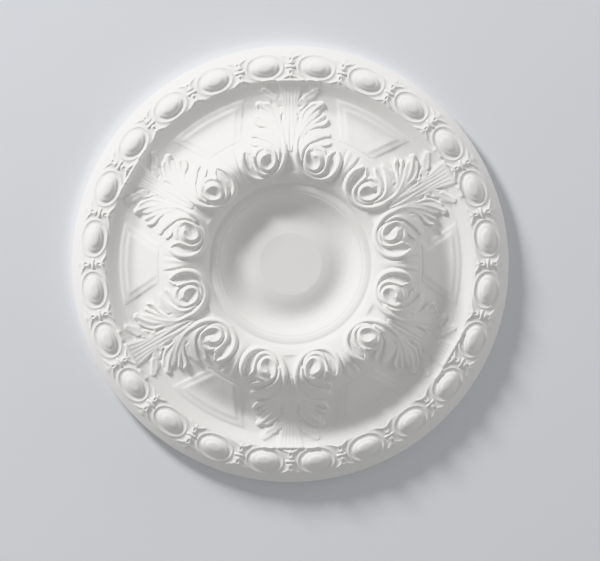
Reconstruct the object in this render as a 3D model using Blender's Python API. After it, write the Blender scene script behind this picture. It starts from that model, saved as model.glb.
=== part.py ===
"""A round ceiling rose in moulded polyurethane, lying on its flat back with the carved face up
and one leaf's axis along +Y.

One twelfth of the face is worked out as a height above the back: a turned ground, and on it a
panel, an egg-and-tie border and half an acanthus leaf with its volute. Mirroring and turning
that wedge gives the whole rose, which is closed with a short edge and a flat back.
"""

import math

import bmesh
import bpy
import numpy as np
from mathutils import Matrix
from mathutils.geometry import delaunay_2d_cdt

MM = 0.001

# Driving sizes, in millimetres and degrees
ROSE_RADIUS = 300
EDGE_HEIGHT = 13
LEAVES = 6
WEDGE = 180 / LEAVES
EGGS_PER_WEDGE = 2
EGG_PITCH = WEDGE / EGGS_PER_WEDGE

# How finely curves are followed and the wedge is first laid out, and what is left of it
PROFILE_STEP = 1.5
BLADE_STEP = 3
RIDGE_STEP = 2
GRID = 1.7
SEAM_SAMPLES = 601
RIM_FACETS = 10
WEDGE_TRIANGLES = 770
SEAM_TOLERANCE = 0.22
WELD = 0.00001

# The turned ground as radius and height, in runs that meet at a crease
DISC_RADIUS = 42.5
DISC_HEIGHT = 28.5
GROUND_RUNS = (
    ((0, DISC_HEIGHT), (DISC_RADIUS, DISC_HEIGHT)),
    ((DISC_RADIUS, DISC_HEIGHT), (50, 26.8), (58, 24.8), (67, 23.8), (75, 24.6), (83, 27.1), (91, 31.8),
     (99, 38.2)),
    ((99, 38.2), (105, 41.1), (111.7, 42.6)),
    ((111.7, 42.6), (117, 46.3), (124, 49.6), (135, 52.5), (147, 54.3), (156, 53.9), (165, 50), (176, 42.2),
     (190, 31.6), (204, 22.6), (213, 18.9), (221, 18.2), (235.7, 19.8)),
    ((235.7, 19.8), (244, 22.9), (254, 26.9)),
    ((254, 26.9), (262, 26.3), (274, 25.1), (284, 22.8), (290, 20), (295, 16.9), (ROSE_RADIUS, EDGE_HEIGHT)),
)

# Panels between the leaves: a tablet with a stepped margin on three sides, as how far in and
# what share of the rise, and a shallow valley between it and the leaf. Its sides lean in a
# little towards the leaf's axis as they go out.
PANEL_OUTER = 235.7
PANEL_INNER = 181
PANEL_SIDE = 65
PANEL_SIDE_OUT = 200
PANEL_LEAN = 0.08
PANEL_RISE = ((PANEL_INNER, 0), (190, 1.6), (196, 2), (213, 1.9), (222, 1.5), (PANEL_OUTER, 1.4))
PANEL_STEPS = ((0, 0), (0.8, 0.1), (3.2, 0.54), (8, 0.62), (11, 1.22), (19, 1))
VALLEY_DEPTH = 0.7
VALLEY_START = 52
VALLEY_SHARE = ((176, 0), (184, 1), (212, 1), (224, 0))

# Eggs, each with a lower step, in a moat with a frame round it, and the ties between them
BORDER_INNER = 253.5
EGG_RING = 272.2
EGG_ACROSS = 20
EGG_ALONG = 12
EGG_DOME = ((0, 5.5), (0.28, 5.4), (0.5, 4.6), (0.66, 2.9), (0.8, 2.2), (0.92, 1), (1, -0.2))
EGG_FRAME = ((0, -0.2), (2, -1), (5.4, 1), (8, 0))
TIE_STROKES = (
    # knot, outer loop with its flare, inner loop with its flare
    (((0, 271.5), (4.5, 271.5)), (2.6,), (2.6,)),
    (((0, 281), (2.5, 281), (5.5, 285), (13, 288.5)), (4, 2.6, 1.8), (2.8, 1.8, 0.9)),
    (((0, 262), (2.5, 262), (5.5, 258), (13, 254.5)), (4, 2.6, 1.8), (2.8, 1.8, 0.9)),
)

# Half a leaf, as u across its axis and v out from the rose's centre. A blade has its centre
# line, its half widths and its heights; a ridge or a groove has the same with a soft section.
BLADE_EDGE = 2.6
RELIEF_NEEDS = 1.6
LEAF_STARTS = 0.3
LEAF_BLADES = (
    # sheet that the fingers lie on
    (((5, 172), (14, 190), (25, 204), (33, 213)), (8, 13, 13.5, 10), (2.6, 3, 2.7)),
    (((12, 145), (15, 162), (30, 176), (39, 179)), (7, 9, 9.5, 7.5), (2.5, 2.9, 2.6)),
    # middle of the leaf, out to its top edge
    (((0, 158), (0, 190), (0, 215), (0, 237), (0, 258)), (4, 9.6, 11, 16, 19), (2.4, 3.4, 2.4, 1, 0.8)),
    # big finger and the finger above it
    (((7, 165), (12, 182), (20, 197.5), (30, 210), (42.6, 218.6)), (4.5, 6, 8, 8.6, 5.2),
     (3.4, 3.6, 3.6, 3.2)),
    (((9, 210), (16, 220), (24, 227.5), (36, 238)), (6, 8, 7.4, 4.4), (2.8, 2, 1.2, 0.8)),
    # two lower fingers
    (((13, 178), (24, 190), (35, 197), (45.6, 202.6)), (5, 6, 5, 3), (3.4,)),
    (((14, 176), (26, 186), (38, 190.5), (50.4, 196.6)), (5, 5, 3.8, 3), (3.4, 3.4, 4)),
    # lowest lobe, broad over the volute, and the finger under it
    (((15.5, 150), (20, 164), (32, 174.5), (52, 177)), (3.4, 5.4, 6.6, 3.8), (3.3, 3.5)),
    (((28, 162), (42, 164), (54, 165.6)), (4.4, 4, 2.6), (3.3,)),
    # bed of the volute
    (((33, 134), (34, 150)), (16.5, 16), (2.6,)),
    # sheath that wraps round the volute and ends in a broad outer lobe
    (((8, 172), (8, 150), (12, 134.5), (21.5, 122.3), (35, 116.8), (50, 117.6), (61, 126), (66.6, 140),
      (65.4, 152)), (3.6, 4.6, 4.2, 4, 4.4, 4.8, 3.8), (3.4, 3.4, 2.6, 2.8, 3.4, 2.8)),
)
LEAF_RIDGES = (
    # big finger's rolled edge and its rib
    (((9.4, 168), (13.2, 179), (22, 191.8), (35, 203.3), (45.4, 212.4), (46, 222), (38, 222.8),
      (26, 217.2), (17.8, 207.8), (12.8, 193.5)), (2,), (0.9,)),
    (((18.3, 194), (24.6, 203.7), (33, 212.3), (42, 218.4)), (2,), (0.9,)),
    # volute, from its eye out into the lowest lobe
    (((34.4, 149.4), (40.6, 143), (38.4, 132.4), (29.6, 129.2), (22, 137), (20.9, 149.4), (27.4, 158.6),
      (38.5, 159.4), (48, 154), (51.2, 144.6), (49, 133.5), (42.5, 125), (32, 123.2), (21.5, 130.5),
      (15.8, 143), (16, 155.6), (23.3, 165.4), (35, 170.4), (54.2, 174.2)), (2.7, 2.3, 1.9, 1.8),
     (2.7, 2, 1.8, 1, 1.3, 1.3, 0.8, 0.8, 0.9)),
    # crest of the sheath
    (((7.6, 156), (8, 146), (12.6, 133.6), (21.5, 122.4), (35, 116.6), (50, 117.4), (61, 126), (67, 140),
      (65.4, 153)), (2.7, 2, 2.1, 3, 3), (0.9, 0.6, 0.8, 1.6, 1.5)),
    # tips
    (((44, 202.6), (48.5, 204.4)), (1.9,), (1,)),
    (((42, 189.4), (48, 192), (51, 198)), (2.1,), (1.3,)),
)
LEAF_GROOVES = (
    # along the axis, and beside the first stem
    (((0, 160), (0, 184), (0, 205)), (1.6,), (1.3, 1.3, 0.3)),
    (((11.3, 194), (11.6, 205)), (1.8,), (2.8,)),
    # big finger's flutes
    (((16.8, 198), (23.6, 210.3), (39, 220.2)), (1.8,), (0.9,)),
    (((27, 201.5), (36.5, 211), (44, 217.4)), (1.6,), (0.7,)),
    # between the fingers
    (((23, 189), (33, 197.8), (44.5, 207)), (1.8,), (1,)),
    (((38, 185.8), (53, 184.2)), (1.7,), (0.8,)),
    (((20.2, 157.6), (27, 164.2), (39, 168.4), (56, 169.2)), (1.7,), (1.4,)),
    # inside the sheath
    (((12.4, 150), (15.6, 136), (24.5, 124.9), (38, 119.2), (50.5, 122.6), (57.2, 132.5)),
     (1.7, 1.7, 2.3), (0.6, 0.8, 1.9)),
    # between the turns of the volute, and its eye
    (((36.6, 155.8), (44.8, 150), (46.6, 138.4), (40, 127.8), (29, 126.6), (20.2, 135.6)),
     (2,), (1.4, 2.1, 1.7, 0.6)),
    (((27, 147.6), (31, 137.6)), (4.4,), (2.7,)),
    # hollow between the volute and the outer lobe
    (((57.2, 147.5), (56, 136.5)), (3.2,), (3,)),
)

# The leaf ends in a straight rolled edge across its top
TOP_EDGE = (((0, 252.2), (36.4, 251)), (3.2,), (1.3, 1.3, 1))
LEAF_TOP = 254.6
LEAF_TOP_ROUND = 2

# Pocket between a leaf's two stems: half widths and floor levels out from its lip
POCKET_LIP = 125
POCKET_STEP = 3.4
POCKET_END = 170
POCKET_WIDTHS = (11.5, 9, 7, 5, 3.4, 2.2, 1.2)
POCKET_FLOOR = (-2, -1.6, -1, -0.2, 0.8, 1.6, 2.2)

# Flutes on the ring between two leaves, as across and out along the panel's axis
FLUTE_RIDGES = ((((6, 172), (4.6, 158), (3, 142)), (2.4,), (1, 1.3, 0.2)),)
FLUTE_GROOVES = ((((10.6, 172), (7.4, 156), (5.7, 140), (7, 127)), (2,), (1.2, 1.2, 0.7, 0.2)),)

# Finish
ROUND_SHADING_ANGLE = 40
PRIMER_ROUGHNESS = 0.75
PRIMED_WHITE = (0.84, 0.835, 0.825, 1)


def smooth_line(points, step):
    """Points every step or so along a smooth curve through the given ones."""
    held = np.array(points, float)
    held = np.vstack([2 * held[0] - held[1], held, 2 * held[-1] - held[-2]])
    line = []
    for before, start, end, after in zip(held, held[1:], held[2:], held[3:]):
        share = np.linspace(0, 1, max(2, int(np.hypot(*(end - start)) / step)), endpoint=False)[:, None]
        line.append(0.5 * (2 * start + (end - before) * share
                           + (2 * before - 5 * start + 4 * end - after) * share ** 2
                           + (3 * start - before - 3 * end + after) * share ** 3))
    return np.vstack(line + [held[-2:-1]])


def distance_along(u, v, line):
    """Each place's distance from a line, and how far along it, from 0 to 1, its nearest point is."""
    lengths = np.hypot(*np.diff(line, axis=0).T)
    starts = np.cumsum(lengths) - lengths
    nearest = np.full(u.shape, np.inf)
    along = np.zeros(u.shape)
    for (u0, v0), (u1, v1), length, begin in zip(line, line[1:], lengths, starts):
        share = np.clip(((u - u0) * (u1 - u0) + (v - v0) * (v1 - v0)) / length ** 2, 0, 1)
        distance = np.hypot(u - u0 - share * (u1 - u0), v - v0 - share * (v1 - v0))
        closer = distance < nearest
        nearest[closer] = distance[closer]
        along[closer] = (begin + share * length)[closer]
    return nearest, along / lengths.sum()


def spread(values, along):
    return np.interp(along, np.linspace(0, 1, len(values)), values)


def blade(u, v, stroke):
    """A finger of the leaf: level on top, rounded down at its edge."""
    points, widths, heights = stroke
    distance, along = distance_along(u, v, smooth_line(points, BLADE_STEP))
    inward = np.clip((spread(widths, along) - distance) / BLADE_EDGE, 0, 1)
    return spread(heights, along) * np.sin(inward * math.pi / 2)


def ridge(u, v, stroke):
    """A rounded ridge along a line."""
    points, widths, heights = stroke
    distance, along = distance_along(u, v, smooth_line(points, RIDGE_STEP))
    return spread(heights, along) * np.exp(-(distance / spread(widths, along)) ** 2)


def ridge_sum(u, v, strokes):
    return sum(ridge(u, v, stroke) for stroke in strokes)


def ground(radius):
    """Height of the turned ground."""
    profile = np.vstack([smooth_line(run, PROFILE_STEP) for run in GROUND_RUNS])
    return np.interp(radius, profile[:, 0], profile[:, 1])


def panel_lift(u, v):
    """How far a panel stands above the ground, and how far the valley beside it lies below."""
    radius = np.hypot(u, v)
    side = PANEL_SIDE - PANEL_LEAN * (v - PANEL_SIDE_OUT)
    inward = np.minimum(PANEL_OUTER - radius, u - side)
    margin = np.interp(inward, *np.transpose(PANEL_STEPS))
    rise = margin * np.interp(radius, *np.transpose(PANEL_RISE), left=0)
    beside = np.clip((u - VALLEY_START) / (side - VALLEY_START), 0, 1) ** 2
    valley = VALLEY_DEPTH * beside * np.interp(radius, *np.transpose(VALLEY_SHARE))
    return np.where(inward > 0, rise, -valley)


def egg_lift(radius, angle):
    """Dome, moat and frame of the egg nearest to each place, above the ground."""
    off_centre = (angle / EGG_PITCH) % 1 - 0.5
    across = np.radians(off_centre * EGG_PITCH) * EGG_RING
    along = radius - EGG_RING
    level = np.hypot(across / EGG_ACROSS, along / EGG_ALONG)
    slope = np.hypot(across / EGG_ACROSS ** 2, along / EGG_ALONG ** 2) / np.maximum(level, 0.01)
    outside = (level - 1) / np.maximum(slope, 0.001)
    dome = np.interp(level, *np.transpose(EGG_DOME))
    frame = np.interp(outside, *np.transpose(EGG_FRAME))
    return np.where(level < 1, dome, frame)


def tie_lift(radius, angle):
    """The knotted tie between two eggs."""
    off_centre = (angle / EGG_PITCH + 0.5) % 1 - 0.5
    across = np.radians(np.abs(off_centre) * EGG_PITCH) * EGG_RING
    return np.max([ridge(across, radius, stroke) for stroke in TIE_STROKES], axis=0)


def leaf_lift(u, v):
    """Half an acanthus leaf, its volute and its sheath, above the ground."""
    body = np.max([blade(u, v, stroke) for stroke in LEAF_BLADES], axis=0)
    relief = ridge_sum(u, v, LEAF_RIDGES) - ridge_sum(u, v, LEAF_GROOVES)
    lift = np.maximum(body + relief * np.clip(body / RELIEF_NEEDS, 0, 1), 0)
    top = np.sqrt(np.clip((LEAF_TOP - v) / LEAF_TOP_ROUND, 0, 1))
    return (lift + ridge(u, v, TOP_EDGE)) * top


def with_pocket(u, v, lift):
    """Sinks the pocket between a leaf's two stems into what is there."""
    out = (v - POCKET_LIP) / (POCKET_END - POCKET_LIP)
    across = np.clip(1 - (u / spread(POCKET_WIDTHS, out)) ** 2, 0, 1)
    share = np.where(out > 1, 0, across) * np.clip((v - POCKET_LIP) / POCKET_STEP, 0, 1)
    return lift + share * (np.minimum(spread(POCKET_FLOOR, out), lift) - lift)


def flute_lift(u, v):
    """The flutes between two leaves, in the frame of the panel's axis."""
    turn = math.radians(WEDGE)
    across = v * math.sin(turn) - u * math.cos(turn)
    out = v * math.cos(turn) + u * math.sin(turn)
    return ridge_sum(across, out, FLUTE_RIDGES) - ridge_sum(across, out, FLUTE_GROOVES)


def face_height(u, v):
    """Height of the carved face above the back, in the wedge beside a leaf's axis."""
    radius = np.hypot(u, v)
    angle = np.degrees(np.arctan2(u, v))
    leaf = leaf_lift(u, v)
    flutes = np.where(leaf < LEAF_STARTS, flute_lift(u, v), 0)
    border = np.where(radius > BORDER_INNER, np.maximum(egg_lift(radius, angle), tie_lift(radius, angle)), 0)
    beside = panel_lift(u, v) + flutes + border
    lift = np.where(leaf > LEAF_STARTS, np.maximum(leaf, beside), beside)
    return ground(radius) + with_pocket(u, v, lift)


def kept_stations(stations, heights, tolerance):
    """The stations of a profile that straight lines need to stay within the tolerance of it."""
    line = np.interp(stations, stations[[0, -1]], heights[[0, -1]])
    worst = int(np.argmax(np.abs(heights - line)))
    if abs(heights[worst] - line[worst]) < tolerance:
        return [stations[0], stations[-1]]
    left = kept_stations(stations[:worst + 1], heights[:worst + 1], tolerance)
    return left + kept_stations(stations[worst:], heights[worst:], tolerance)[1:]


def seam(angle):
    """Points out along one straight side of the wedge, only as many as its profile needs."""
    direction = np.array([math.sin(math.radians(angle)), math.cos(math.radians(angle))])
    radii = np.linspace(0, ROSE_RADIUS, SEAM_SAMPLES)
    heights = face_height(*(radii * direction[:, None]))
    return [radius * direction for radius in kept_stations(radii, heights, SEAM_TOLERANCE)]


def wedge_plan():
    """Triangles over the wedge, and how many of the first points lie on its outline."""
    leaf_side = seam(0)
    panel_side = seam(WEDGE)
    turns = np.radians(np.linspace(0, WEDGE, RIM_FACETS + 1)[1:-1])
    rim = [ROSE_RADIUS * np.array([math.sin(turn), math.cos(turn)]) for turn in turns]
    outline = leaf_side + rim + panel_side[:0:-1]
    inside = []
    for ring in np.arange(2 * GRID, ROSE_RADIUS - GRID / 2, GRID):
        count = max(2, round(math.radians(WEDGE) * ring / GRID))
        for turn in np.radians(np.linspace(0, WEDGE, count + 1)[1:-1]):
            inside.append(ring * np.array([math.sin(turn), math.cos(turn)]))
    sides = [(index, (index + 1) % len(outline)) for index in range(len(outline))]
    points, _, triangles, *_ = delaunay_2d_cdt(outline + inside, sides, [], 1, 1e-6)
    return points, triangles, len(outline)


def carved_wedge():
    """A mesh of one twelfth of the face, thinned out but with its outline untouched."""
    points, triangles, outline = wedge_plan()
    plan = np.array(points)
    heights = face_height(plan[:, 0], plan[:, 1])
    mesh = bpy.data.meshes.new("wedge")
    mesh.from_pydata(np.column_stack([plan, heights]) * MM, [], triangles)
    wedge = bpy.data.objects.new("wedge", mesh)
    bpy.context.scene.collection.objects.link(wedge)
    group = wedge.vertex_groups.new(name="inside")
    group.add(list(range(outline, len(plan))), 1, "REPLACE")
    thin = wedge.modifiers.new("Thin out", "DECIMATE")
    thin.ratio = WEDGE_TRIANGLES / len(triangles)
    thin.vertex_group = group.name
    bpy.context.view_layer.update()
    carved = bpy.data.meshes.new_from_object(wedge.evaluated_get(bpy.context.evaluated_depsgraph_get()))
    bpy.data.objects.remove(wedge)
    return carved


def whole_face(wedge):
    """Mirrors the wedge over its leaf's axis and turns the pair round to all the leaves."""
    body = bmesh.new()
    body.from_mesh(wedge)
    both = body.verts[:] + body.edges[:] + body.faces[:]
    bmesh.ops.mirror(body, geom=both, axis="X", merge_dist=WELD)
    pair = body.verts[:] + body.edges[:] + body.faces[:]
    for leaf in range(1, LEAVES):
        copy = bmesh.ops.duplicate(body, geom=pair)["geom"]
        corners = [item for item in copy if isinstance(item, bmesh.types.BMVert)]
        bmesh.ops.rotate(body, verts=corners, matrix=Matrix.Rotation(math.tau * leaf / LEAVES, 3, "Z"))
    bmesh.ops.remove_doubles(body, verts=body.verts[:], dist=WELD)
    return body


def add_back(body):
    """Drops the rim to the flat back and closes it."""
    rim = [edge for edge in body.edges if edge.is_boundary]
    dropped = bmesh.ops.extrude_edge_only(body, edges=rim)["geom"]
    low = [item for item in dropped if isinstance(item, bmesh.types.BMVert)]
    for corner in low:
        corner.co.z = 0
    bmesh.ops.contextual_create(body, geom=[edge for edge in body.edges if edge.is_boundary])
    bmesh.ops.recalc_face_normals(body, faces=body.faces[:])


def primed_polyurethane():
    material = bpy.data.materials.new("primed polyurethane, moulded")
    material.use_nodes = True
    shader = material.node_tree.nodes["Principled BSDF"]
    shader.inputs["Base Color"].default_value = PRIMED_WHITE
    shader.inputs["Roughness"].default_value = PRIMER_ROUGHNESS
    return material


def main():
    for thing in list(bpy.data.objects):
        bpy.data.objects.remove(thing, do_unlink=True)
    rose_parts = bpy.data.collections.new("Ceiling rose")
    bpy.context.scene.collection.children.link(rose_parts)
    body = whole_face(carved_wedge())
    add_back(body)
    mesh = bpy.data.meshes.new("ceiling_rose")
    body.to_mesh(mesh)
    body.free()
    rose = bpy.data.objects.new("ceiling_rose", mesh)
    rose.data.materials.append(primed_polyurethane())
    rose_parts.objects.link(rose)
    rose.select_set(True)
    bpy.context.view_layer.objects.active = rose
    bpy.ops.object.shade_smooth_by_angle(angle=math.radians(ROUND_SHADING_ANGLE))


main()
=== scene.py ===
"""Looks of the ceiling rose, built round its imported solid.

The rose is one light moulding with a matt white primer. A turned blank is spun from the
profile of the ground, one twelfth of it is carved with the panels, the egg-and-tie border and
half an acanthus leaf, and that wedge is mirrored and turned round to make the whole face.
Sizes in the carving are millimetres.
"""

import math

import bpy
import numpy as np
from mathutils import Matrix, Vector


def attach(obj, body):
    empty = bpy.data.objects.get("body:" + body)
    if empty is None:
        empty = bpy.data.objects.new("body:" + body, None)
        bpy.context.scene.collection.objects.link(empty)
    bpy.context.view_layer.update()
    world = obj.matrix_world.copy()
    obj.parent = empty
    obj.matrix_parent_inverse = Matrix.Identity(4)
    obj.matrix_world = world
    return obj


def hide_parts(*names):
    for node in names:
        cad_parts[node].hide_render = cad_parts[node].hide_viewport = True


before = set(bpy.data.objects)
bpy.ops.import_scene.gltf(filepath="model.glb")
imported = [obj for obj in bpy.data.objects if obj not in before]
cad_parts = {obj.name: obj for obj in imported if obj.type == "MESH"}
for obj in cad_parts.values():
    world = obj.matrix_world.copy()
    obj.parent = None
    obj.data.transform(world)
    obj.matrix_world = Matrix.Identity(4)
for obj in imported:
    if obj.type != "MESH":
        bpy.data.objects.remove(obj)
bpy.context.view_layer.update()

MM = 0.001
NODE = "ceiling_rose"

# Driving sizes, in millimetres and degrees. The rim stands upright from the back to EDGE_HEIGHT.
ROSE_RADIUS = 300
EDGE_HEIGHT = 12.6
LEAVES = 6
WEDGE = 180 / LEAVES
EGGS_PER_WEDGE = 2
EGG_PITCH = WEDGE / EGGS_PER_WEDGE

# How finely a profile and a stroke are followed, the least step in radius that a profile keeps, and
# a stroke's reach as a multiple of its half width
PROFILE_STEP = 0.5
SAME_RADIUS = 0.001
STROKE_STEP = 1.5
STROKE_REACH = 2.6

# The blank: its rows out to the rim, how far inside the rim the last one lies, and its steps round
BLANK_STEP = 0.6
LAST_ROW_INSIDE = 0.3
BLANK_TURNS = 216

# The carved wedge: how many triangles it keeps, how near to the disc's edge nothing is thinned out,
# and how near a corner has to be to a seam, or to another corner, to be brought onto it
WEDGE_TRIANGLES = 15800
KEPT_BESIDE_DISC = 1.1
ON_SEAM = 0.03
BLANK_WELD = 0.001
WELD = 0.01

# The turned ground as radius and height, in runs that meet at a crease: the disc, the dish, the
# notch and the ledge round it, the ring and its fall to the field, the cove, the border and the rim
DISC_RADIUS = 42.5
DISC_HEIGHT = 28.5
DISC_EDGE = (DISC_RADIUS, DISC_HEIGHT)
DISH_EDGE = (98.2, 37.5)
LEDGE_INNER = (100.2, 38.2)
LEDGE_OUTER = (111.4, 41.1)
FIELD_EDGE = (235.7, 19.8)
COVE_EDGE = (254, 26.9)
GROUND_RUNS = (
    ((0, DISC_HEIGHT), DISC_EDGE),
    (DISC_EDGE, (46, 28.1), (50, 27.5), (54, 26.8), (58, 25.9), (62, 25.1), (66, 24.5), (70, 24.2),
     (74, 24.4), (78, 25), (82, 26.2), (86, 28), (90, 30.5), (94, 33.7), DISH_EDGE),
    (DISH_EDGE, (99.4, 37.6), LEDGE_INNER),
    (LEDGE_INNER, (102, 39.3), (105, 40.3), (108, 40.9), LEDGE_OUTER),
    (LEDGE_OUTER, (113, 42.9), (114.4, 44.4), (117, 46.3), (120, 47.9), (124, 49.6), (129, 51.1),
     (135, 52.5), (141, 53.6), (147, 54.3), (152, 54.4), (156, 53.9), (160, 52.7), (165, 50),
     (170, 46.6), (176, 42.2), (182, 38), (190, 31.6), (198, 26.2), (204, 22.6), (209, 20.2),
     (213, 18.9), (217, 18.3), (221, 18.2), (226, 18.6), (231, 19.2), FIELD_EDGE),
    (FIELD_EDGE, (237, 20.15), (240, 21.2), (244, 22.85), (248, 24.6), (251.5, 26.2), COVE_EDGE),
    (COVE_EDGE, (262, 26.3), (274, 25.1), (284, 22.8), (290, 20), (295, 16.6), (298.8, 13.8),
     (299.7, 13.2), (ROSE_RADIUS, EDGE_HEIGHT)),
)

# Panels between the leaves: a tablet with a stepped margin on three sides. At PANEL_SIDE_OUT along
# the leaf's axis a side is PANEL_SIDE away from it, and it comes nearer by PANEL_LEAN further out.
PANEL_OUTER = FIELD_EDGE[0]
PANEL_INNER = 181
PANEL_SIDE = 65
PANEL_SIDE_OUT = 200
PANEL_LEAN = 0.08
# Its rise by radius, the share of that in from its edge, and the valley beside it
PANEL_RISE = (
    (PANEL_INNER, 0), (183, 0.5), (190, 1.6), (196, 2), (213, 1.9), (222, 1.5), (PANEL_OUTER, 1.4),
)
PANEL_STEPS = (
    (0, 0), (0.8, 0.08), (3, 0.54), (3.6, 0.58), (7.2, 0.6), (8, 0.66), (11.4, 1.32), (12.4, 1.38),
    (15.6, 1.2), (19, 1),
)
PANEL_VALLEY = 0.6
VALLEY_SHAPE = ((-15, 0), (-6, 1), (-1.5, 1), (2.5, 0))
VALLEY_SHARE = ((176, 0), (184, 1), (212, 1), (224, 0))
# The small quirk along its inner end
PANEL_QUIRK = 0.8
PANEL_QUIRK_WIDTH = 1.2

# Eggs, each with a lower step, in a moat with a frame round it. The dome's height goes by the share
# of the way out to the egg's edge, the frame's by the distance outside it. The two least values
# keep the sums from dividing by nought at an egg's middle.
BORDER_INNER = 253.5
EGG_RING = 272.2
EGG_ACROSS = 20
EGG_ALONG = 12
LEAST_LEVEL = 0.01
LEAST_SLOPE = 0.001
EGG_DOME = (
    (0, 5.2), (0.25, 5.1), (0.42, 4.8), (0.54, 4.25), (0.62, 3.5), (0.68, 2.9), (0.74, 2.55),
    (0.84, 2.2), (0.9, 1.7), (0.96, 0.6), (1, -0.2),
)
EGG_FRAME = ((0, -0.2), (1.4, -0.9), (2.6, -0.9), (4.2, 0.5), (5.4, 1), (6.4, 0.7), (8, 0), (9, 0))

# A stroke is its centre line, its half widths and its heights, both spread evenly along it.
# The ties between the eggs: across the tie's axis, and out from the rose's centre.
TIE_RIDGES = (
    # knot
    (((0, 271.5), (4.5, 271.5)), (2.2,), (2.6,)),
    # outer loop, its flare and the bud above it
    (((0, 276.5), (0, 283)), (4.6,), (2.8,)),
    (((2.5, 283), (6, 285.5), (10, 287), (13, 288.5)), (2.2, 1.6, 1.2), (2.3, 1.8, 0.8)),
    (((0, 290.3), (2, 290.3)), (1.5,), (1,)),
    # inner loop and its flare
    (((0, 267), (0, 259.5)), (4.4, 4, 3.6), (2.8,)),
    (((2.5, 259.4), (6.5, 257.6), (13, 254.4)), (2.2, 1.6, 1.2), (2.3, 1.8, 0.8)),
)
TIE_GROOVES = (
    (((0, 280.4), (0, 282)), (1.4,), (2.2,)),
    (((0, 262), (0, 264)), (1.4,), (2.2,)),
    (((0, 274.8), (5, 274.6)), (0.9,), (0.9,)),
    (((0, 268.6), (5, 268.8)), (0.9,), (0.9,)),
)

# Where a leaf stops at the border, and over how much it rounds down there
LEAF_TOP = 254.6
LEAF_TOP_ROUND = 2
# How a blade rounds down at its edge, and the fillets between blades and in the border
BLADE_EDGE = 3.3
BLADE_FILLET = 0.7
BORDER_FILLET = 0.4
# Height at which a leaf covers what is under it, at which it carries its relief in full, and at
# which it has hidden the flutes
LEAF_STARTS = 0.2
RELIEF_NEEDS = 1.6
FLUTES_END = 1.5

# Half a leaf, as u across its axis and v out from the rose's centre. Blades are level fingers,
# ridges and grooves have a soft section and follow what carries them.
LEAF_BLADES = (
    # sheet that the fingers lie on, beside the axis and out along them
    (((5, 172), (14, 190), (25, 204), (33, 213)), (8, 13, 13.5, 10), (2.6, 3, 3, 2.7)),
    (((12, 145), (13, 158), (20, 170), (30, 176), (39, 179)),
     (7, 8, 9.5, 9.5, 7.5), (2.5, 2.9, 2.9, 2.6)),
    # middle of the leaf
    (((0, 158), (0, 175), (0, 195), (0, 215), (0, 237), (0, 258)), (4, 8.6, 9.8, 11, 16, 19),
     (2.4, 3.3, 3.4, 2.4, 1, 0.8)),
    # big finger
    (((7, 165), (11, 180), (19, 196), (29, 209), (37.5, 216), (42.6, 218.6)),
     (4.5, 5.5, 7, 8.6, 8, 5.2), (3.4, 3.6, 3.6, 3.4, 3.2)),
    # upper finger
    (((9, 210), (16, 220), (24, 227.5), (31, 233.5), (36, 238)),
     (6, 8, 8, 6.6, 4.4), (2.8, 2.2, 1.5, 1, 0.8)),
    # three lower fingers
    (((13, 178), (22, 188), (32, 195), (40, 199.6), (45.6, 202.6)),
     (5, 6, 5.5, 4.2, 3), (3.3, 3.3, 3.3, 3.3)),
    (((14, 176), (24, 184.5), (34, 189.5), (42.5, 191.6), (47.6, 193.8), (50.4, 196.6)),
     (5, 5, 4, 3.8, 4, 3), (3.3, 3.3, 3.5, 4)),
    # lowest lobe, broad over the volute, and the finger under it
    (((15.5, 150), (18, 160), (25, 169.5), (35, 175.5), (44, 177.6), (52, 177)),
     (3.4, 4.6, 6, 6.6, 6.2, 3.8), (3.2, 3.4, 3.4, 3.2, 3.4)),
    (((28, 162), (40, 164), (48, 163.8), (54, 165.6)), (4.4, 4.4, 3.6, 2.6), (3.2, 3.2, 3.2)),
    # bed of the volute, and the bridge from it to the outer lobe
    (((33, 134), (34, 142), (34, 150)), (16.5, 18, 16), (2.6, 2.6)),
    (((49.5, 141), (51, 147), (55, 151.6), (62, 155)), (3, 2.8, 2.6), (2.7, 2.6, 2.2)),
    # sheath that wraps round the volute and ends in a broad outer lobe
    (((8, 172), (7.8, 158), (8.4, 146), (11.6, 135), (17, 126.5), (24, 120.6), (33, 117), (42, 116),
      (51, 118), (59, 123.6), (64.4, 131.6), (66.6, 140), (66.6, 147), (65.4, 152)),
     (3.6, 4.2, 4.6, 4.4, 4, 4, 4.2, 4.6, 4.8, 4.8, 4.6, 3.6),
     (3.4, 3.6, 3.2, 2.6, 2.4, 2.8, 3.2, 3.4, 2.8)),
)
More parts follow.
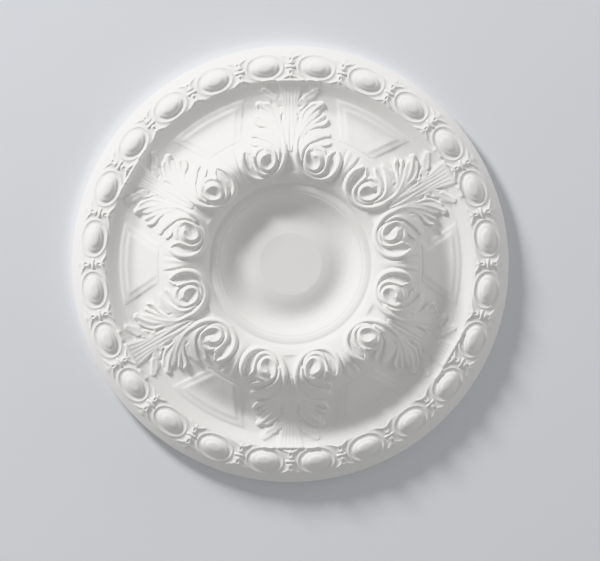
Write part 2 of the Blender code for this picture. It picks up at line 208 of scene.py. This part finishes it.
LEAF_RIDGES = (
    # midrib pair and the flutes beside it
    (((3.4, 162), (3.5, 172), (3.7, 182), (2.8, 192), (2.2, 200), (2.6, 212)),
     (1.6,), (0.3, 0.5, 0.6, 0.5, 0.5, 0.3)),
    (((2.6, 213), (2.4, 226), (2.6, 240), (3, 250)), (1.3,), (0.4, 0.5, 0.6)),
    (((7.8, 196), (8.1, 203), (8.6, 212)), (1.3,), (0.3, 0.5, 0.3)),
    (((6.2, 215), (6.4, 228), (7.4, 240), (8.8, 250)), (1.3,), (0.3, 0.5, 0.6)),
    (((9.4, 217), (10.6, 230), (12.8, 241), (15, 249)), (1.4,), (0.2, 0.5, 0.5)),
    (((13.2, 225), (14.4, 233), (17, 237), (19, 233.6), (19.4, 227)),
     (1.3,), (0.5, 0.6, 0.7, 0.6, 0.5)),
    # stem line
    (((8.8, 156), (8.7, 163), (9.2, 171), (10.8, 179)), (1.5,), (0.3, 0.7, 0.7, 0.3)),
    # big finger: lower edge, tip and upper edge in one, then the rib between them
    (((9.4, 168), (10.8, 174), (13.2, 179), (17.5, 186), (22, 191.8), (28, 197.5), (35, 203.3),
      (41, 208), (45.4, 212.4), (47, 217.4), (46, 222), (42.6, 224), (38, 222.8), (31, 220.3),
      (26, 217.2), (21.5, 213), (17.8, 207.8), (15.4, 202.5), (13.8, 197), (12.8, 193.5)),
     (1.6, 1.7, 1.8, 1.8, 1.8, 1.6, 1.4, 1.4, 1.5, 1.6, 1.4),
     (0.5, 0.6, 0.7, 0.7, 0.7, 0.7, 0.7, 0.8, 1, 1, 0.6, 0.6, 0.7, 0.9, 1, 0.7)),
    (((18.3, 194), (21, 199), (24.6, 203.7), (28.3, 207.8), (33, 212.3), (38, 216.2), (42, 218.4)),
     (1.7,), (0.3, 0.7, 0.8, 0.8, 0.7, 0.5)),
    # small curled lobes above it
    (((15, 205.6), (13, 207.4), (11.9, 210.3), (12.8, 212.6)), (1.3,), (0.3, 0.6, 0.8, 0.6)),
    (((15.8, 213.5), (18, 216.6), (21, 219.6)), (1.3,), (0.2, 0.6, 0.4)),
    # upper finger's edges
    (((19.6, 231.4), (24, 233.4), (28.6, 236.4), (34, 239.6), (38, 241.4), (39.6, 239.4), (38.6, 235.6),
      (35, 232), (30.5, 229.3), (25, 226.4), (20, 223.5)), (1.6,),
     (0.4, 0.6, 0.6, 0.7, 0.9, 0.8, 0.6, 0.5, 0.4, 0.3)),
    # lower fingers
    (((35, 197.4), (40, 200.2), (44, 202.6), (47, 205), (49, 203.6), (47.6, 201)),
     (1.3,), (0.1, 0.2, 0.6, 0.9, 0.8, 0.5)),
    (((34, 190), (39, 189.6), (44, 189.4), (47.3, 191.2), (49.6, 194.6), (51.2, 198.6)),
     (1.5, 1.6, 1.9, 2, 1.7), (0.2, 0.4, 0.9, 1.2, 1.1)),
    (((24.2, 175), (25.4, 178), (26.2, 180.4)), (1.4,), (0.3, 0.6, 0.4)),
    # volute: one spiral, from its eye twice round and out along the lowest lobe
    (((34.4, 149.4), (37.8, 147.6), (40.6, 143), (40.8, 137.6), (38.4, 132.4), (34.2, 129.4),
      (29.6, 129.2), (25.2, 132.2), (22, 137), (20.7, 143), (20.9, 149.4), (22.8, 154.8),
      (27.4, 158.6), (34, 160.4)),
     (2.8, 2.7, 2.5, 2.4, 2.3, 2.2, 2.1, 2, 1.8, 1.7, 1.6, 1.5),
     (2.8, 2.4, 2, 1.9, 1.9, 1.9, 1.8, 1.6, 1.4, 1.2, 0.8, 0.4)),
    (((38.5, 159.4), (43.5, 157.4), (48, 154), (50.6, 149.6), (51.2, 144.6), (50.4, 139), (49, 133.5),
      (46.5, 128.6), (42.5, 125), (37.5, 122.9), (32, 123.2), (26.5, 126), (21.5, 130.5), (17.8, 136.5),
      (15.8, 143), (15, 149.4), (16, 155.6), (19, 161.2), (23.3, 165.4), (28.5, 168.5), (35, 170.4),
      (43, 171.3), (49.5, 172.2), (54.2, 174.2), (56.6, 176.6)),
     (1.8, 1.9, 2.1, 2.6, 2.1, 1.7, 1.5, 1.7, 1.8, 1.7, 1.5, 1.6),
     (0.5, 1, 1.2, 1.1, 1.4, 1.6, 1.2, 0.8, 0.6, 0.5, 0.6, 0.9, 1, 0.9, 0.7, 0.6, 0.8, 0.9)),
    (((18.4, 150), (17.9, 143), (19.4, 137), (22.6, 131.6), (27, 127.6)),
     (1.2,), (0.1, 0.25, 0.25, 0.2, 0.1)),
    # finger under the lowest lobe
    (((40, 161.6), (46, 161.8), (51, 162.8), (55, 165)), (1.5, 1.5, 1.3), (0.1, 0.7, 0.9, 0.5)),
    # sheath's crest, round to its outer lobe
    (((7.6, 152), (8, 146), (9.6, 140), (12.6, 133.6), (16.6, 127.6), (21.5, 122.4), (28, 118.6),
      (35, 116.6), (43, 116), (50, 117.4), (56, 120.8), (61, 126), (64.8, 132.5), (67, 140), (67, 147),
      (65.4, 153)),
     (2.8, 2.6, 2.2, 1.9, 1.9, 2.1, 2.4, 2.8, 3.3, 3.4, 2.6),
     (0.8, 1, 0.7, 0.5, 0.4, 0.5, 0.8, 1.2, 1.6, 1.8, 1.4)),
    (((51.5, 146.4), (54.6, 150), (57.6, 152.6)), (1.4,), (0.6, 1, 0.4)),
)
LEAF_GROOVES = (
    # along the axis, and between the flutes
    (((0, 160), (0, 170), (0, 184), (0, 196), (0, 210)), (1.5, 1.4, 1.2, 1, 1), (1, 1.3, 1, 0.5, 0.2)),
    (((6.4, 156), (6.3, 166), (7, 174), (8.8, 182)), (1.2,), (0.1, 0.4, 0.5, 0.2)),
    (((5.2, 196), (5.4, 205), (6.4, 214)), (1.2,), (0.2, 0.4, 0.2)),
    (((4.8, 232), (5.2, 240), (5.8, 248)), (1.2,), (0.1, 0.2, 0.2)),
    (((11, 242), (12.8, 249)), (1.2,), (0.2, 0.35)),
    # slot and drilled eyes beside the big finger
    (((11.3, 194.4), (11.5, 199), (11.7, 204)), (1.5, 1.7, 1.4), (2, 3.2, 1.6)),
    (((12, 216.4), (15, 216.6)), (1.4,), (0.8, 0.9)),
    (((25, 219.6), (25.2, 222.4)), (1.9,), (1, 0.9)),
    (((15.6, 228.6), (16.6, 232)), (1.5,), (0.7, 0.7)),
    (((20.4, 235.6), (22.4, 236.6)), (1.8,), (0.7, 0.7)),
    (((27, 241.4), (34, 245.4), (40, 246.4)), (1.6,), (0.1, 0.3, 0.5)),
    # big finger's flutes
    (((16.8, 198), (19.4, 204.5), (23.6, 210.3), (28.5, 214.5), (34, 217.2), (39, 220.2)),
     (1.6,), (0.7, 0.9, 0.8, 0.7, 0.7, 0.5)),
    (((27, 201.5), (31.5, 206.4), (36.5, 211), (41, 214.6), (44, 217.4)),
     (1.4,), (0.2, 0.5, 0.6, 0.8, 0.7)),
    (((15.5, 210), (20, 215.4), (23.4, 218.4)), (1.3,), (0.4, 0.5, 0.4)),
    # between the lower fingers
    (((21, 187.5), (25.5, 192), (30.5, 196), (36, 200.2), (41, 204), (44.5, 207)),
     (1.5,), (0.2, 0.5, 0.7, 0.8, 0.9, 0.8)),
    (((42, 195.6), (46, 198), (49, 201)), (1.3,), (0.1, 0.7, 1)),
    (((38, 185.8), (44, 184.6), (53, 184.2)), (1.3,), (0.5, 0.8, 0.6)),
    (((23.2, 179.4), (22.6, 177)), (1.5,), (1.2, 0.9)),
    (((12.2, 150), (12, 160), (12.5, 166), (13.4, 171), (15, 174.4)),
     (1.3, 1.4, 1.1), (0.4, 0.5, 0.9, 0.9, 0.3)),
    # inside the sheath
    (((12.4, 150), (13.4, 142.5), (15.6, 136), (19.5, 129.8), (24.5, 124.9), (31, 121), (38, 119.2),
      (45, 119.8), (50.5, 122.6), (54.5, 127), (57.2, 132.5)),
     (1.4, 1.4, 1.4, 1.6, 1.9, 2.3), (0.5, 0.6, 0.5, 0.6, 0.9, 1.4, 1.8)),
    # between the turns of the spiral
    (((36.6, 155.8), (40.8, 154), (44.8, 150), (46.8, 144.6), (46.6, 138.4), (44.4, 132.4),
      (40, 127.8), (34.6, 125.8), (29, 126.6), (24, 130), (20.2, 135.6)),
     (1.6, 1.7, 2, 2, 1.8, 1.5, 1.2), (1.2, 1.4, 1.7, 2, 2, 1.6, 1.2, 0.8, 0.4)),
    (((26.6, 152.6), (31.5, 154.8)), (1.7,), (1, 1.2)),
    (((18, 146), (18.4, 152), (20.4, 157), (24, 160.8)), (1.1,), (0.4, 0.6, 0.7, 0.4)),
    # hollow eye of the volute
    (((27, 147.6), (28, 142.4), (31, 137.6)), (3.6, 4.6, 4.2), (2, 2.7, 2.4)),
    # under the lowest lobe
    (((20.2, 157.6), (23, 161.4), (27, 164.2), (33, 166.8), (39, 168.4), (45, 169), (51, 168.8),
      (56, 169.2)), (1.3, 1.5, 1.5, 1.4), (0.7, 1.1, 1.2, 1.2, 1.2, 1)),
    (((46, 159), (51, 158.6), (57, 160.4)), (1.7,), (0.5, 0.9, 0.8)),
    # hollow between the spiral and the outer lobe
    (((57.2, 147.5), (57, 142), (56, 136.5)), (3, 3.4, 2.8), (2.4, 3, 2.4)),
    (((52.7, 154.6), (53.2, 151.4)), (1.5,), (2, 2)),
)
PITS = (
    # between the volute and the outer lobe, and above the bridge
    (((57.6, 146), (57.2, 141), (55.6, 135)), (2.4, 2.6, 2), (0.9, 1.2, 0.7)),
    (((51.6, 156), (54, 157)), (1.5,), (0.6,)),
)

# Curls along the leaf's top edge, as place, radius and height, and the edge that carries them
CURLS = (
    (0, 252.6, 3.2, 0.7), (4.6, 252.6, 3, 0.5), (11, 252.4, 3.4, 0.8), (16, 251.8, 2.6, 0.5),
    (25, 252.8, 3.2, 1.6), (31, 251.8, 2.4, 0.8), (36.4, 250.8, 2.6, 1.4),
)
TOP_EDGE = (
    ((0, 252.4), (16, 252), (25, 252.6), (31, 251.8), (36.4, 250.8)),
    (3.2, 3, 2.6), (0.9, 0.9, 0.7, 0.5),
)

# Pocket between the two stems, from its lip outwards: the step down at the lip, then its half
# widths and the levels of its floor, both spread evenly along it
POCKET_LIP = 125
POCKET_STEP = 3.4
POCKET_END = 170
POCKET_WIDTHS = (11.5, 9, 7, 5, 3.4, 2.2, 1.2)
POCKET_FLOOR = (-2, -1.6, -1, -0.2, 0.8, 1.6, 2.2)

# Flutes on the ring between two leaves, as across and out along the panel's axis, and the low
# swell under them
FLUTE_RIDGES = (
    (((6, 172), (5.6, 165), (4.6, 158), (3.6, 150), (3, 140)), (2.2,), (0.9, 1.5, 1.2, 0.6, 0.1)),
    (((0, 170), (0, 158), (0, 146), (0, 134), (0, 124)), (5, 6, 7), (0.4, 1.6, 2.2, 1.4, 0.2)),
)
FLUTE_GROOVES = (
    (((0, 174), (0, 162), (0, 150)), (1.8,), (0.3, 0.6, 0.1)),
    (((10.6, 173), (9.6, 166), (8, 160), (6.8, 154), (6, 147), (5.6, 140), (6, 133), (7.4, 127)),
     (1.8, 1.6, 1.4), (0.8, 1.3, 1.2, 1, 0.8, 0.6, 0.4, 0.1)),
)

# Camera, from where the rose lies in the photograph and how wide it is there. The lens is long,
# because the photograph shows no perspective.
PICTURE_WIDTH_PX = 600
ROSE_WIDTH_PX = 436
ROSE_CENTRE_PX = (290.5, 264)
PICTURE_CENTRE_PX = (300, 280.5)
LENS = 900
SENSOR = 36

# Light, from the photograph's shading. Turn is degrees round from the picture's right towards its
# top, height is degrees up from the floor, softness is how many degrees wide the lamp looks, and
# the distance is in metres.
KEY_TURN = 129
KEY_HEIGHT = 20
KEY_SOFTNESS = 13
KEY_STRENGTH = 3.35
FILL_TURN = 19
FILL_HEIGHT = 8
FILL_SOFTNESS = 14
FILL_STRENGTH = 0.42
LIGHT_DISTANCE = 6
ROOM_COLOUR = (1, 1, 1, 1)
ROOM_STRENGTH = 0.43
# This view keeps the relief visible where the white is brightest
VIEW_TRANSFORM = "Khronos PBR Neutral"

# Primer, with its grain in millimetres, and the angle below which the carving is shaded smooth
PRIMER_WHITE = "#efeeec"
PRIMER_ROUGHNESS = 0.62
PRIMER_IOR = 1.45
GRAIN = 1.5
GRAIN_DETAIL = 2
GRAIN_DEPTH = 0.05
GRAIN_STRENGTH = 0.05
SMOOTH_BELOW = 50

# Floor, with its side in metres
FLOOR_GREY = "#e3e5e9"
FLOOR_ROUGHNESS = 0.9
FLOOR_SIZE = 6
FLOOR_BELOW_BACK = 0.2


def smooth_line(points, step):
    """Points every step or so along a smooth curve through the given ones."""
    held = np.array(points, float)
    held = np.vstack([2 * held[0] - held[1], held, 2 * held[-1] - held[-2]])
    line = []
    for before, start, end, after in zip(held, held[1:], held[2:], held[3:]):
        share = np.linspace(0, 1, max(2, int(np.hypot(*(end - start)) / step)), endpoint=False)[:, None]
        line.append(0.5 * (2 * start + (end - before) * share
                           + (2 * before - 5 * start + 4 * end - after) * share ** 2
                           + (3 * start - before - 3 * end + after) * share ** 3))
    return np.vstack(line + [held[-2:-1]])


def distance_along(u, v, line):
    """Each place's distance from a line, and how far along it, from 0 to 1, its nearest point is."""
    lengths = np.hypot(*np.diff(line, axis=0).T)
    starts = np.cumsum(lengths) - lengths
    nearest = np.full(u.shape, np.inf)
    along = np.zeros(u.shape)
    for (u0, v0), (u1, v1), length, begin in zip(line, line[1:], lengths, starts):
        share = np.clip(((u - u0) * (u1 - u0) + (v - v0) * (v1 - v0)) / length ** 2, 0, 1)
        distance = np.hypot(u - u0 - share * (u1 - u0), v - v0 - share * (v1 - v0))
        closer = distance < nearest
        nearest[closer] = distance[closer]
        along[closer] = (begin + share * length)[closer]
    return nearest, along / lengths.sum()


def spread(values, along):
    """The value at a share of the way along, where the values are spread evenly."""
    return np.interp(along, np.linspace(0, 1, len(values)), values)


def near_stroke(u, v, stroke):
    """The places within reach of a stroke, their distance, and its half width and height there."""
    points, widths, heights = stroke
    reach = STROKE_REACH * max(widths)
    low_u, low_v = np.min(points, axis=0) - reach
    high_u, high_v = np.max(points, axis=0) + reach
    near = (u > low_u) & (u < high_u) & (v > low_v) & (v < high_v)
    distance, along = distance_along(u[near], v[near], smooth_line(points, STROKE_STEP))
    return near, distance, spread(widths, along), spread(heights, along)


def blade(u, v, stroke):
    """A finger of the leaf: level on top, rounded down at its edge."""
    lift = np.zeros(u.shape)
    near, distance, width, height = near_stroke(u, v, stroke)
    inward = np.clip((width - distance) / np.minimum(BLADE_EDGE, width), 0, 1)
    lift[near] = height * np.sin(inward * math.pi / 2)
    return lift


def ridge(u, v, stroke):
    """A rounded ridge along a line."""
    lift = np.zeros(u.shape)
    near, distance, width, height = near_stroke(u, v, stroke)
    lift[near] = height * np.exp(-(distance / width) ** 2)
    return lift


def ridge_sum(u, v, strokes):
    """Several ridges, added up where they overlap."""
    return sum(ridge(u, v, stroke) for stroke in strokes)


def soft_max(one, other, blend):
    """The higher of two surfaces, with a small fillet where they meet."""
    overlap = np.clip(blend - np.abs(one - other), 0, None)
    return np.maximum(one, other) + overlap ** 2 / (4 * blend)


def ground_profile():
    """The turned ground as a row of (radius, height), closer together than the blank's step."""
    profile = np.vstack([smooth_line(run, PROFILE_STEP) for run in GROUND_RUNS])
    kept = np.append(True, np.diff(profile[:, 0]) > SAME_RADIUS)
    return profile[kept]


def panel_lift(u, v):
    """A panel's height above the ground, less the valley beside it and the quirk at its end."""
    radius = np.hypot(u, v)
    from_side = u - PANEL_SIDE + PANEL_LEAN * (v - PANEL_SIDE_OUT)
    inward = np.minimum(PANEL_OUTER - radius, from_side)
    margin = np.interp(inward, *np.transpose(PANEL_STEPS))
    valley = np.interp(from_side, *np.transpose(VALLEY_SHAPE))
    valley = valley * np.interp(radius, *np.transpose(VALLEY_SHARE))
    quirk = PANEL_QUIRK * np.exp(-((radius - PANEL_INNER) / PANEL_QUIRK_WIDTH) ** 2)
    rise = margin * np.interp(radius, *np.transpose(PANEL_RISE), left=0)
    return rise - np.where(inward > 0, quirk, 0) - PANEL_VALLEY * valley


def egg_lift(radius, angle):
    """Dome, moat and frame of the egg nearest to each place, above the ground."""
    off_centre = (angle / EGG_PITCH) % 1 - 0.5
    across = np.radians(off_centre * EGG_PITCH) * EGG_RING
    along = radius - EGG_RING
    level = np.hypot(across / EGG_ACROSS, along / EGG_ALONG)
    slope = np.hypot(across / EGG_ACROSS ** 2, along / EGG_ALONG ** 2) / np.maximum(level, LEAST_LEVEL)
    outside = (level - 1) / np.maximum(slope, LEAST_SLOPE)
    dome = np.interp(level, *np.transpose(EGG_DOME))
    frame_height = np.interp(outside, *np.transpose(EGG_FRAME))
    return np.where(level < 1, dome, frame_height)


def tie_lift(radius, angle):
    """The knotted tie between two eggs."""
    off_centre = (angle / EGG_PITCH + 0.5) % 1 - 0.5
    across = np.radians(np.abs(off_centre) * EGG_PITCH) * EGG_RING
    raised = np.max([ridge(across, radius, stroke) for stroke in TIE_RIDGES], axis=0)
    return raised - ridge_sum(across, radius, TIE_GROOVES)


def border_lift(radius, angle):
    """Eggs and ties together, the ties over the eggs' frames."""
    return soft_max(egg_lift(radius, angle), tie_lift(radius, angle), BORDER_FILLET)


def leaf_lift(u, v):
    """Half an acanthus leaf, its volute and its sheath, above the ground."""
    body = np.zeros(u.shape)
    for stroke in LEAF_BLADES:
        finger = blade(u, v, stroke)
        body = np.where(body + finger > 0, soft_max(body, finger, BLADE_FILLET), 0)
    relief = ridge_sum(u, v, LEAF_RIDGES) - ridge_sum(u, v, LEAF_GROOVES)
    lift = np.maximum(body + relief * np.clip(body / RELIEF_NEEDS, 0, 1), 0)
    top_edge = ridge(u, v, TOP_EDGE)
    for curl_u, curl_v, radius, height in CURLS:
        top_edge = top_edge + height * np.exp(-((u - curl_u) ** 2 + (v - curl_v) ** 2) / radius ** 2)
    return (lift + top_edge) * np.sqrt(np.clip((LEAF_TOP - v) / LEAF_TOP_ROUND, 0, 1))


def with_pocket(u, v, lift):
    """Sinks the pocket between a leaf's two stems into what is there."""
    out = (v - POCKET_LIP) / (POCKET_END - POCKET_LIP)
    share = 1 - (u / spread(POCKET_WIDTHS, out)) ** 2
    share = np.clip(np.where(out > 1, 0, share), 0, 1) * np.clip((v - POCKET_LIP) / POCKET_STEP, 0, 1)
    return lift + share * (np.minimum(spread(POCKET_FLOOR, out), lift) - lift)


def flute_lift(u, v):
    """The flutes between two leaves, in the frame of the panel's axis."""
    turn = math.radians(WEDGE)
    across = v * math.sin(turn) - u * math.cos(turn)
    out = v * math.cos(turn) + u * math.sin(turn)
    return ridge_sum(across, out, FLUTE_RIDGES) - ridge_sum(across, out, FLUTE_GROOVES)


def carving(u, v):
    """Height of the carving above the turned ground, in the wedge beside a leaf's axis."""
    radius = np.hypot(u, v)
    angle = np.degrees(np.arctan2(u, v))
    leaf = leaf_lift(u, v)
    flutes = flute_lift(u, v) * np.clip(1 - leaf / FLUTES_END, 0, 1)
    border = np.where(radius > BORDER_INNER, border_lift(radius, angle), 0)
    beside = panel_lift(u, v) + flutes
    over_all = np.maximum(leaf, beside) + np.maximum(border, 0)
    lift = np.where(leaf > LEAF_STARTS, over_all, beside + border)
    return with_pocket(u, v, lift) - ridge_sum(u, v, PITS)


def only(piece):
    """Selects one object and nothing else."""
    bpy.ops.object.select_all(action="DESELECT")
    piece.select_set(True)
    bpy.context.view_layer.objects.active = piece


def turned_wedge():
    """Spins the ground's profile through one twelfth of a turn, from a leaf's axis along +Y."""
    profile = ground_profile()
    radii = np.arange(0, ROSE_RADIUS, BLANK_STEP)
    radii = np.append(radii, (ROSE_RADIUS - LAST_ROW_INSIDE, ROSE_RADIUS))
    heights = np.interp(radii, *profile.T)
    corners = np.column_stack([np.zeros(len(radii)), radii, heights]) * MM
    mesh = bpy.data.meshes.new("rose_blank")
    mesh.from_pydata(corners, [(i, i + 1) for i in range(len(radii) - 1)], [])
    blank = bpy.data.objects.new("rose_blank", mesh)
    bpy.context.scene.collection.objects.link(blank)
    only(blank)
    bpy.ops.object.mode_set(mode="EDIT")
    bpy.ops.mesh.select_all(action="SELECT")
    bpy.ops.mesh.spin(steps=BLANK_TURNS, angle=math.radians(WEDGE), center=(0, 0, 0), axis=(0, 0, 1))
    bpy.ops.mesh.select_all(action="SELECT")
    bpy.ops.mesh.remove_doubles(threshold=BLANK_WELD * MM)
    bpy.ops.object.mode_set(mode="OBJECT")
    return blank


def corners_of(mesh):
    """A mesh's corners as rows of x, y and z."""
    flat = np.empty(len(mesh.vertices) * 3)
    mesh.vertices.foreach_get("co", flat)
    return flat.reshape(-1, 3)


def put_corners(mesh, corners):
    """Moves a mesh's corners to the given places."""
    mesh.vertices.foreach_set("co", corners.ravel())
    mesh.update()


def onto_seams(corners):
    """Brings the corners beside the wedge's two straight sides exactly onto them."""
    turn = math.radians(WEDGE)
    for across in (np.array([1, 0, 0]), np.array([math.cos(turn), -math.sin(turn), 0])):
        off = corners @ across
        beside = np.abs(off) < ON_SEAM * MM
        corners[beside] -= off[beside, None] * across
    return corners


def carve(blank):
    """Raises the carving on the blank and thins out what is flat, but not the crease round the disc."""
    corners = corners_of(blank.data)
    # Spin may turn either way, and the wedge is carved on the side of +X
    corners[:, 0] = np.abs(corners[:, 0])
    corners[:, 2] += carving(corners[:, 0] / MM, corners[:, 1] / MM) * MM
    put_corners(blank.data, corners)
    off_disc_edge = np.abs(np.hypot(corners[:, 0], corners[:, 1]) / MM - DISC_RADIUS)
    free = blank.vertex_groups.new(name="away from the disc's edge")
    free.add(np.flatnonzero(off_disc_edge > KEPT_BESIDE_DISC).tolist(), 1, "REPLACE")
    thin = blank.modifiers.new("Thin out", "DECIMATE")
    thin.vertex_group = free.name
    thin.ratio = WEDGE_TRIANGLES / sum(len(face.vertices) - 2 for face in blank.data.polygons)
    only(blank)
    bpy.ops.object.modifier_apply(modifier=thin.name)
    put_corners(blank.data, onto_seams(corners_of(blank.data)))


def turn_round(piece):
    """Mirrors the wedge over the leaf's axis, and turns and welds the pair round to all the leaves."""
    mirror = piece.modifiers.new("Other half of the leaf", "MIRROR")
    mirror.use_axis = (True, False, False)
    mirror.merge_threshold = WELD * MM
    only(piece)
    bpy.ops.object.modifier_apply(modifier=mirror.name)
    bpy.ops.object.mode_set(mode="EDIT")
    bpy.ops.mesh.select_all(action="SELECT")
    for _ in range(1, LEAVES):
        bpy.ops.mesh.duplicate()
        bpy.ops.transform.rotate(value=math.tau / LEAVES, orient_axis="Z", center_override=(0, 0, 0))
    bpy.ops.mesh.select_all(action="SELECT")
    bpy.ops.mesh.remove_doubles(threshold=WELD * MM)
    bpy.ops.object.mode_set(mode="OBJECT")


def close_back():
    """Drops the rim of the active piece to the flat back and fills it."""
    bpy.ops.object.mode_set(mode="EDIT")
    bpy.ops.mesh.select_mode(type="EDGE")
    bpy.ops.mesh.select_all(action="DESELECT")
    bpy.ops.mesh.select_non_manifold()
    bpy.ops.mesh.extrude_region_move()
    bpy.ops.transform.resize(value=(1, 1, 0), center_override=(0, 0, 0))
    bpy.ops.mesh.edge_face_add()
    bpy.ops.mesh.select_all(action="SELECT")
    bpy.ops.mesh.normals_make_consistent(inside=False)
    bpy.ops.object.mode_set(mode="OBJECT")


def linear(hex_colour):
    """An sRGB hex value as linear red, green, blue and alpha."""
    shares = [int(hex_colour[i:i + 2], 16) / 255 for i in (1, 3, 5)]
    return [s / 12.92 if s <= 0.04045 else ((s + 0.055) / 1.055) ** 2.4 for s in shares] + [1]


def add_node(tree, kind, links=(), **settings):
    """Adds a node, sets its inputs or properties by name, and links (output, its input) pairs to it."""
    node = tree.nodes.new(kind)
    for name, value in settings.items():
        label = name.replace("_", " ")
        if label in node.inputs:
            node.inputs[label].default_value = value
        else:
            setattr(node, name, value)
    for output, name in links:
        tree.links.new(output, node.inputs[name])
    return node


def primed_moulded_polyurethane():
    """Rigid foam from a silicone mould, sprayed with matt primer: even and chalky, hardly any sheen."""
    material = bpy.data.materials.new("primed moulded polyurethane")
    material.use_nodes = True
    tree = material.node_tree
    shader = tree.nodes["Principled BSDF"]
    shader.inputs["Base Color"].default_value = linear(PRIMER_WHITE)
    shader.inputs["Roughness"].default_value = PRIMER_ROUGHNESS
    shader.inputs["IOR"].default_value = PRIMER_IOR
    place = add_node(tree, "ShaderNodeTexCoord")
    # Real spray grain is about 0.5 mm across, too fine for a picture of the whole rose to hold
    grain = add_node(tree, "ShaderNodeTexNoise", [(place.outputs["Object"], "Vector")],
                     Scale=1 / (GRAIN * MM), Detail=GRAIN_DETAIL)
    bump = add_node(tree, "ShaderNodeBump", [(grain.outputs["Fac"], "Height")],
                    Strength=GRAIN_STRENGTH, Distance=GRAIN_DEPTH * MM)
    tree.links.new(bump.outputs["Normal"], shader.inputs["Normal"])
    return material


def painted_board():
    """Flat painted board under the rose, with no pattern."""
    material = bpy.data.materials.new("painted board")
    material.use_nodes = True
    shader = material.node_tree.nodes["Principled BSDF"]
    shader.inputs["Base Color"].default_value = linear(FLOOR_GREY)
    shader.inputs["Roughness"].default_value = FLOOR_ROUGHNESS
    return material


def make_rose():
    """The whole moulding: spun, carved, turned round and closed at the back."""
    rose = turned_wedge()
    carve(rose)
    turn_round(rose)
    close_back()
    rose.name = rose.data.name = "carved_rose"
    rose.data.materials.append(primed_moulded_polyurethane())
    bpy.ops.object.shade_smooth_by_angle(angle=math.radians(SMOOTH_BELOW))
    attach(rose, "root")
    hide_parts(NODE)


def make_floor():
    """The board that the rose lies on, a hair below its back."""
    bpy.ops.mesh.primitive_plane_add(size=FLOOR_SIZE, location=(0, 0, -FLOOR_BELOW_BACK * MM))
    floor = bpy.context.object
    floor.name = "floor"
    floor.data.materials.append(painted_board())


def add_lamp(name, turn, height, softness, strength):
    """A round soft lamp that points at the rose, as bright on it at any distance."""
    turn = math.radians(turn)
    height = math.radians(height)
    sideways = math.cos(height)
    towards = Vector((math.cos(turn) * sideways, math.sin(turn) * sideways, math.sin(height)))
    light = bpy.data.lights.new(name, "AREA")
    light.shape = "DISK"
    light.size = 2 * LIGHT_DISTANCE * math.tan(math.radians(softness / 2))
    light.energy = strength * math.pi * LIGHT_DISTANCE ** 2
    lamp = bpy.data.objects.new(name, light)
    lamp.location = towards * LIGHT_DISTANCE
    lamp.rotation_euler = towards.to_track_quat("Z", "Y").to_euler()
    bpy.context.scene.collection.objects.link(lamp)


def make_light():
    """A low soft key from the upper left, a weak low fill from the right and an even room."""
    add_lamp("soft key", KEY_TURN, KEY_HEIGHT, KEY_SOFTNESS, KEY_STRENGTH)
    add_lamp("side fill", FILL_TURN, FILL_HEIGHT, FILL_SOFTNESS, FILL_STRENGTH)
    room = bpy.data.worlds.new("room light")
    bpy.context.scene.world = room
    room.use_nodes = True
    background = room.node_tree.nodes["Background"]
    background.inputs["Color"].default_value = ROOM_COLOUR
    background.inputs["Strength"].default_value = ROOM_STRENGTH


def make_camera():
    """Looks straight at the face, with the rose where the photograph has it."""
    pixel = 2 * ROSE_RADIUS * MM / ROSE_WIDTH_PX
    camera = bpy.data.cameras.new("camera")
    camera.lens = LENS
    camera.sensor_width = SENSOR
    view = bpy.data.objects.new("camera", camera)
    right_of_rose = (PICTURE_CENTRE_PX[0] - ROSE_CENTRE_PX[0]) * pixel
    above_rose = (ROSE_CENTRE_PX[1] - PICTURE_CENTRE_PX[1]) * pixel
    view.location = (right_of_rose, above_rose, pixel * PICTURE_WIDTH_PX * LENS / SENSOR)
    bpy.context.scene.collection.objects.link(view)
    bpy.context.scene.camera = view


make_rose()
make_floor()
make_light()
make_camera()
bpy.context.scene.view_settings.view_transform = VIEW_TRANSFORM
